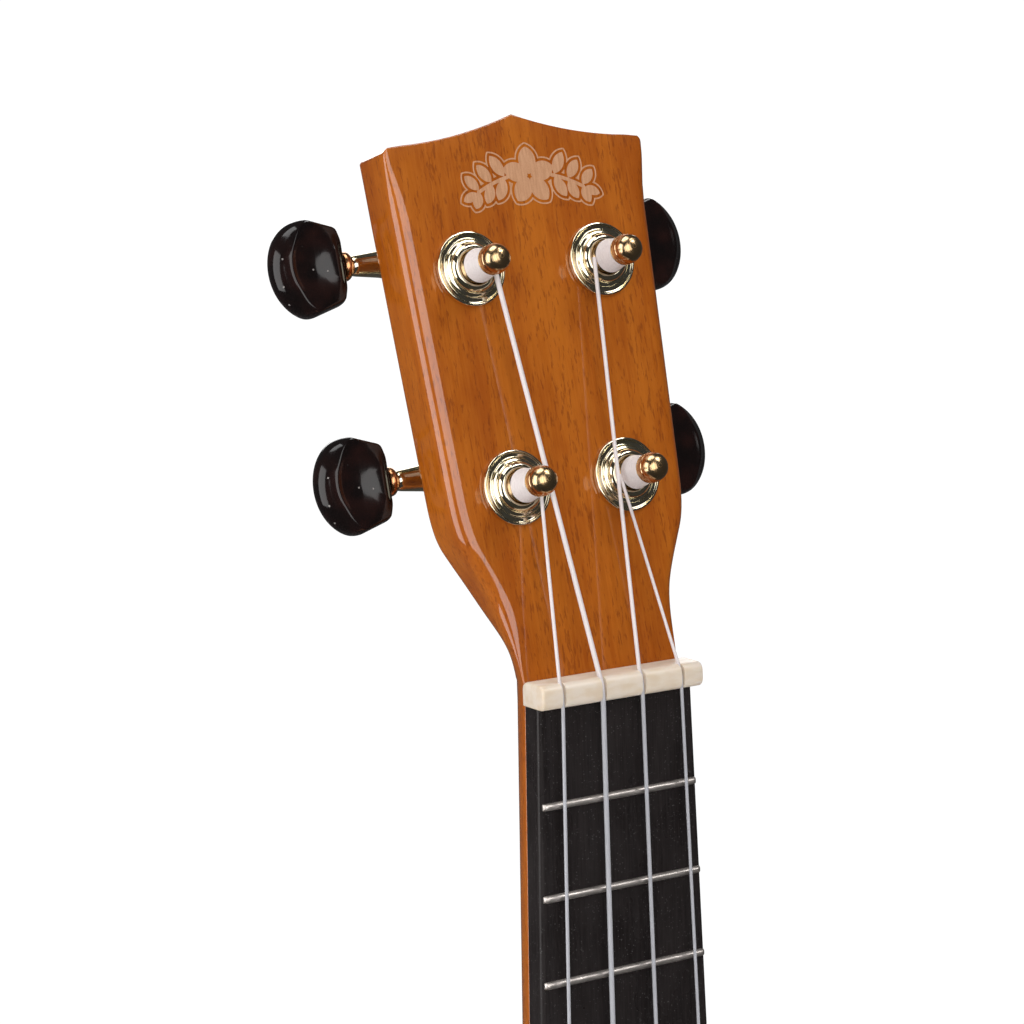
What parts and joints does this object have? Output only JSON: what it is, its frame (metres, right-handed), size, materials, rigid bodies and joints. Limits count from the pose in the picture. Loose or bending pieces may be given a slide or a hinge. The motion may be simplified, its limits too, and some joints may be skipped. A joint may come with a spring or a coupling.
{
  "type": "soprano ukulele",
  "caption": "Small four-course lute with a waisted wooden body, round sound hole, fretted neck, tilted head and geared tuners with black buttons.",
  "frame": {"origin": "on the centre line at the nut line, in the fretboard's top plane, between the arms of a wall hanger's yoke", "axes": "+Z along the neck towards the head, +Y from the front to the back, +X towards the treble side"},
  "size_m": [0.17, 0.0704, 0.5255],
  "materials": {
    "lacquered_wood": "gloss lacquer over orange-brown wood",
    "raw_wood": "bare sawn wood",
    "dark_wood": "satin near-black",
    "cream_plastic": "polished cream",
    "fret_wire": "polished nickel alloy",
    "nylon": "translucent pale nylon",
    "gold_plate": "bright pale gold plating",
    "turned_brass": "turned brass",
    "button_plastic": "gloss black"
  },
  "bodies": {
    "body": {"neck": "lacquered_wood", "soundboard": "lacquered_wood", "back_plate": "lacquered_wood", "side_treble": "lacquered_wood", "side_bass": "lacquered_wood", "lining_front": "raw_wood", "lining_back": "raw_wood", "neck_block": "raw_wood", "tail_block": "raw_wood", "upper_brace": "raw_wood", "lower_brace": "raw_wood", "back_brace_upper": "raw_wood", "back_brace_lower": "raw_wood", "bridge_plate": "raw_wood", "heel_cap": "dark_wood", "fretboard": "dark_wood", "bridge": "dark_wood", "nut": "cream_plastic", "saddle": "cream_plastic", "fret_01": "fret_wire", "fret_02": "fret_wire", "fret_03": "fret_wire", "fret_04": "fret_wire", "fret_05": "fret_wire", "fret_06": "fret_wire", "fret_07": "fret_wire", "fret_08": "fret_wire", "fret_09": "fret_wire", "fret_10": "fret_wire", "fret_11": "fret_wire", "fret_12": "fret_wire", "string_g": "nylon", "tuner_g_bushing": "gold_plate", "tuner_g_housing": "gold_plate", "tuner_g_base_plate": "gold_plate", "string_c": "nylon", "tuner_c_bushing": "gold_plate", "tuner_c_housing": "gold_plate", "tuner_c_base_plate": "gold_plate", "string_e": "nylon", "tuner_e_bushing": "gold_plate", "tuner_e_housing": "gold_plate", "tuner_e_base_plate": "gold_plate", "string_a": "nylon", "tuner_a_bushing": "gold_plate", "tuner_a_housing": "gold_plate", "tuner_a_base_plate": "gold_plate"},
    "tuner_g_worm": {"tuner_g_worm_shaft": "turned_brass", "tuner_g_button": "button_plastic"},
    "tuner_g_post": {"tuner_g_string_post": "turned_brass"},
    "tuner_c_worm": {"tuner_c_worm_shaft": "turned_brass", "tuner_c_button": "button_plastic"},
    "tuner_c_post": {"tuner_c_string_post": "turned_brass"},
    "tuner_e_worm": {"tuner_e_worm_shaft": "turned_brass", "tuner_e_button": "button_plastic"},
    "tuner_e_post": {"tuner_e_string_post": "turned_brass"},
    "tuner_a_worm": {"tuner_a_worm_shaft": "turned_brass", "tuner_a_button": "button_plastic"},
    "tuner_a_post": {"tuner_a_string_post": "turned_brass"}
  },
  "joints": [
    {"name": "tuner_g_button_turn", "type": "hinge", "parent": "body", "child": "tuner_g_worm", "pos_m": [-0.0128, 0.03494, 0.04194], "axis": [1, 0, 0], "continuous": true},
    {"name": "tuner_g_post_turn", "type": "hinge", "parent": "body", "child": "tuner_g_post", "pos_m": [-0.0128, 0.01414, 0.04111], "axis": [0, -0.9707, 0.2402], "continuous": true},
    {"name": "tuner_c_button_turn", "type": "hinge", "parent": "body", "child": "tuner_c_worm", "pos_m": [-0.0152, 0.04542, 0.08426], "axis": [1, 0, 0], "continuous": true},
    {"name": "tuner_c_post_turn", "type": "hinge", "parent": "body", "child": "tuner_c_post", "pos_m": [-0.0152, 0.02461, 0.08343], "axis": [0, -0.9707, 0.2402], "continuous": true},
    {"name": "tuner_e_button_turn", "type": "hinge", "parent": "body", "child": "tuner_e_worm", "pos_m": [0.0152, 0.04542, 0.08426], "axis": [1, 0, 0], "continuous": true},
    {"name": "tuner_e_post_turn", "type": "hinge", "parent": "body", "child": "tuner_e_post", "pos_m": [0.0152, 0.02461, 0.08343], "axis": [0, -0.9707, 0.2402], "continuous": true},
    {"name": "tuner_a_button_turn", "type": "hinge", "parent": "body", "child": "tuner_a_worm", "pos_m": [0.0128, 0.03494, 0.04194], "axis": [1, 0, 0], "continuous": true},
    {"name": "tuner_a_post_turn", "type": "hinge", "parent": "body", "child": "tuner_a_post", "pos_m": [0.0128, 0.01414, 0.04111], "axis": [0, -0.9707, 0.2402], "continuous": true}
  ],
  "couplings": [
    {"joint": "tuner_g_post_turn", "follows": "tuner_g_button_turn", "ratio": 0.071429},
    {"joint": "tuner_c_post_turn", "follows": "tuner_c_button_turn", "ratio": 0.071429},
    {"joint": "tuner_e_post_turn", "follows": "tuner_e_button_turn", "ratio": 0.071429},
    {"joint": "tuner_a_post_turn", "follows": "tuner_a_button_turn", "ratio": 0.071429}
  ]
}
